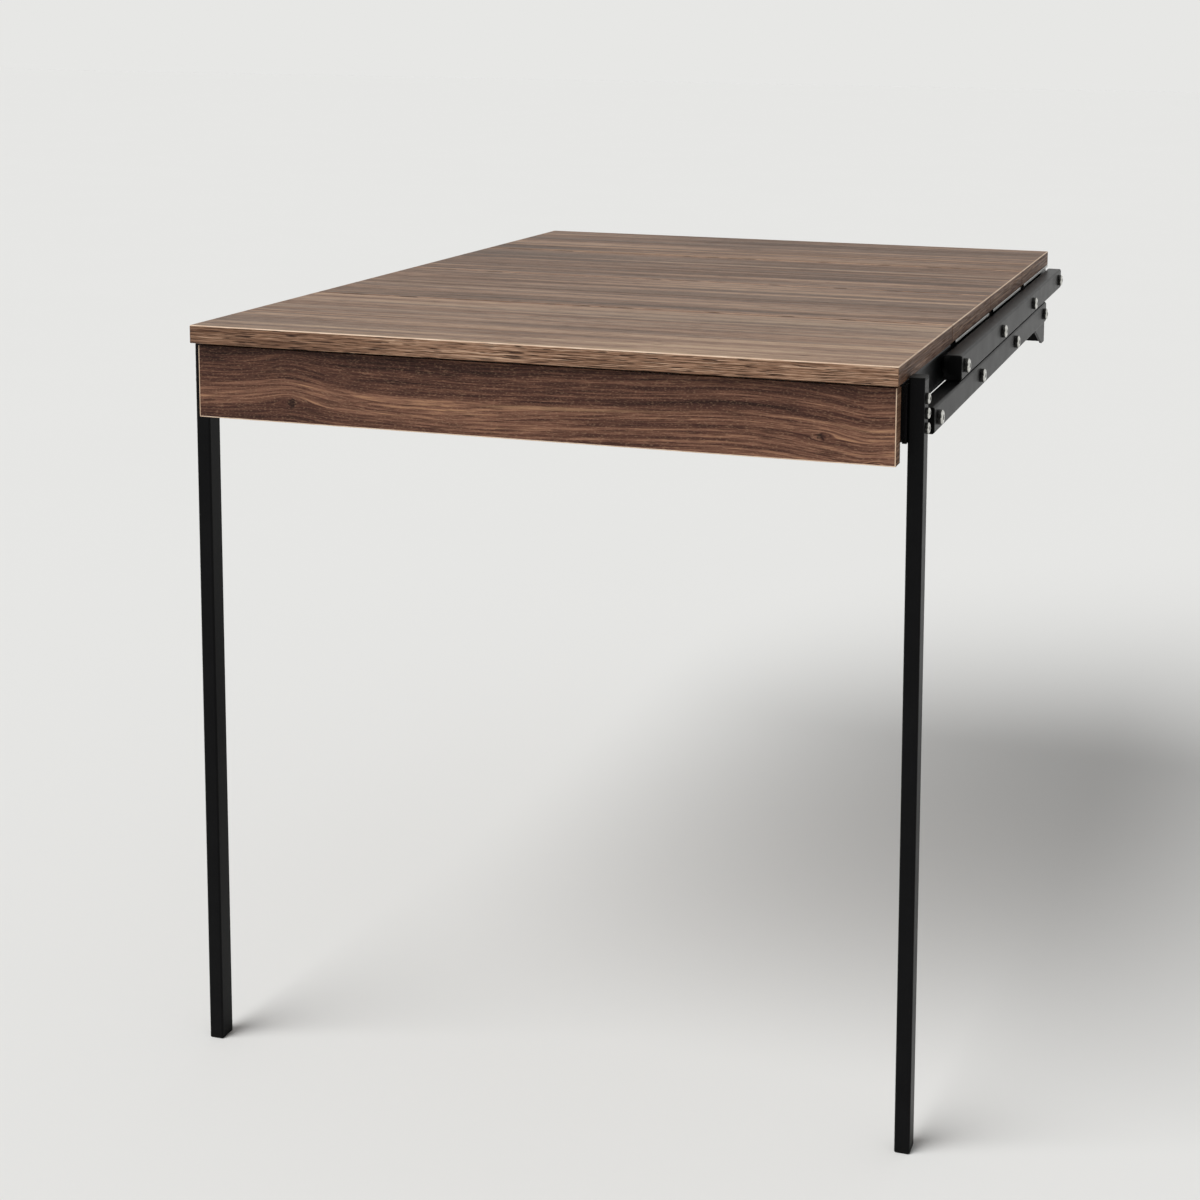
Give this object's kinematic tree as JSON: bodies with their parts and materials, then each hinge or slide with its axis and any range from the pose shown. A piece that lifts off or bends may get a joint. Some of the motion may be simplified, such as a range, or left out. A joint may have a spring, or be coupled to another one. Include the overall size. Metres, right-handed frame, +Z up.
{
  "type": "wall mounted folding table",
  "caption": "Table whose boards hang on parallel tube arms pinned to wall brackets, so it folds up against the wall into level shelves; legs and apron move with the front board.",
  "frame": {"origin": "on the wall, at the centre of the four wall screw holes, midway between the two brackets", "axes": "+X to the right as seen from the front, -Y out from the wall to the front edge, +Z up"},
  "size_m": [0.7524, 0.938, 0.75],
  "materials": {
    "walnut_board": "satin laminate",
    "edge_band": "satin edge band",
    "black_steel": "black powder coat",
    "bright_bolts": "polished",
    "zinc_fittings": "zinc plated",
    "black_plastic": "fine texture"
  },
  "bodies": {
    "wall_frame": {"wall_leaf_board": "walnut_board", "wall_leaf_edging": "edge_band", "wall_bracket_right": "black_steel", "wall_bracket_left": "black_steel", "wall_pivot_bolts": "bright_bolts", "wall_pivot_nuts": "zinc_fittings"},
    "upper_arm_right": {"upper_arm_right": "black_steel", "upper_arm_right_plugs": "black_plastic"},
    "upper_arm_left": {"upper_arm_left": "black_steel", "upper_arm_left_plugs": "black_plastic"},
    "lower_arm_right": {"lower_arm_right": "black_steel", "lower_arm_right_plugs": "black_plastic"},
    "lower_arm_left": {"lower_arm_left": "black_steel", "lower_arm_left_plugs": "black_plastic"},
    "inner_leaf": {"inner_leaf_board": "walnut_board", "inner_leaf_edging": "edge_band", "inner_carrier_right": "black_steel", "inner_carrier_left": "black_steel", "inner_pivot_bolts": "bright_bolts", "inner_pivot_nuts": "zinc_fittings"},
    "middle_leaf": {"middle_leaf_board": "walnut_board", "middle_leaf_edging": "edge_band", "middle_carrier_right": "black_steel", "middle_carrier_left": "black_steel", "middle_pivot_bolts": "bright_bolts", "middle_pivot_nuts": "zinc_fittings"},
    "front_leaf": {"front_leaf_board": "walnut_board", "front_leaf_edging": "edge_band", "front_carrier_right": "black_steel", "front_carrier_left": "black_steel", "front_pivot_bolts": "bright_bolts", "front_pivot_nuts": "zinc_fittings", "apron_board": "walnut_board", "apron_edging": "edge_band", "apron_cleats": "black_steel", "leg_right": "black_steel", "leg_left": "black_steel", "leg_packing_plates": "black_steel", "leg_bolts": "bright_bolts", "leg_nuts": "zinc_fittings", "leg_top_plugs": "black_plastic", "leg_feet": "black_plastic"}
  },
  "joints": [
    {"name": "table_fold", "type": "hinge", "parent": "wall_frame", "child": "upper_arm_right", "pos_m": [0.3625, -0.033, 0.037], "axis": [-1, 0, 0], "range_deg": [0, 90]},
    {"name": "upper_arm_left_turn", "type": "hinge", "parent": "wall_frame", "child": "upper_arm_left", "pos_m": [-0.3625, -0.033, 0.037], "axis": [-1, 0, 0], "range_deg": [0, 90]},
    {"name": "lower_arm_right_turn", "type": "hinge", "parent": "wall_frame", "child": "lower_arm_right", "pos_m": [0.3625, -0.167, 0.011], "axis": [-1, 0, 0], "range_deg": [0, 90]},
    {"name": "lower_arm_left_turn", "type": "hinge", "parent": "wall_frame", "child": "lower_arm_left", "pos_m": [-0.3625, -0.167, 0.011], "axis": [-1, 0, 0], "range_deg": [0, 90]},
    {"name": "inner_leaf_turn", "type": "hinge", "parent": "upper_arm_right", "child": "inner_leaf", "pos_m": [0.3625, -0.261, 0.037], "axis": [-1, 0, 0], "range_deg": [-90, 0]},
    {"name": "middle_leaf_turn", "type": "hinge", "parent": "upper_arm_right", "child": "middle_leaf", "pos_m": [0.3625, -0.489, 0.037], "axis": [-1, 0, 0], "range_deg": [-90, 0]},
    {"name": "front_leaf_turn", "type": "hinge", "parent": "upper_arm_right", "child": "front_leaf", "pos_m": [0.3625, -0.717, 0.037], "axis": [-1, 0, 0], "range_deg": [-90, 0]}
  ],
  "couplings": [
    {"joint": "upper_arm_left_turn", "follows": "table_fold", "ratio": 1},
    {"joint": "lower_arm_right_turn", "follows": "table_fold", "ratio": 1},
    {"joint": "lower_arm_left_turn", "follows": "table_fold", "ratio": 1},
    {"joint": "inner_leaf_turn", "follows": "table_fold", "ratio": -1},
    {"joint": "middle_leaf_turn", "follows": "table_fold", "ratio": -1},
    {"joint": "front_leaf_turn", "follows": "table_fold", "ratio": -1}
  ]
}
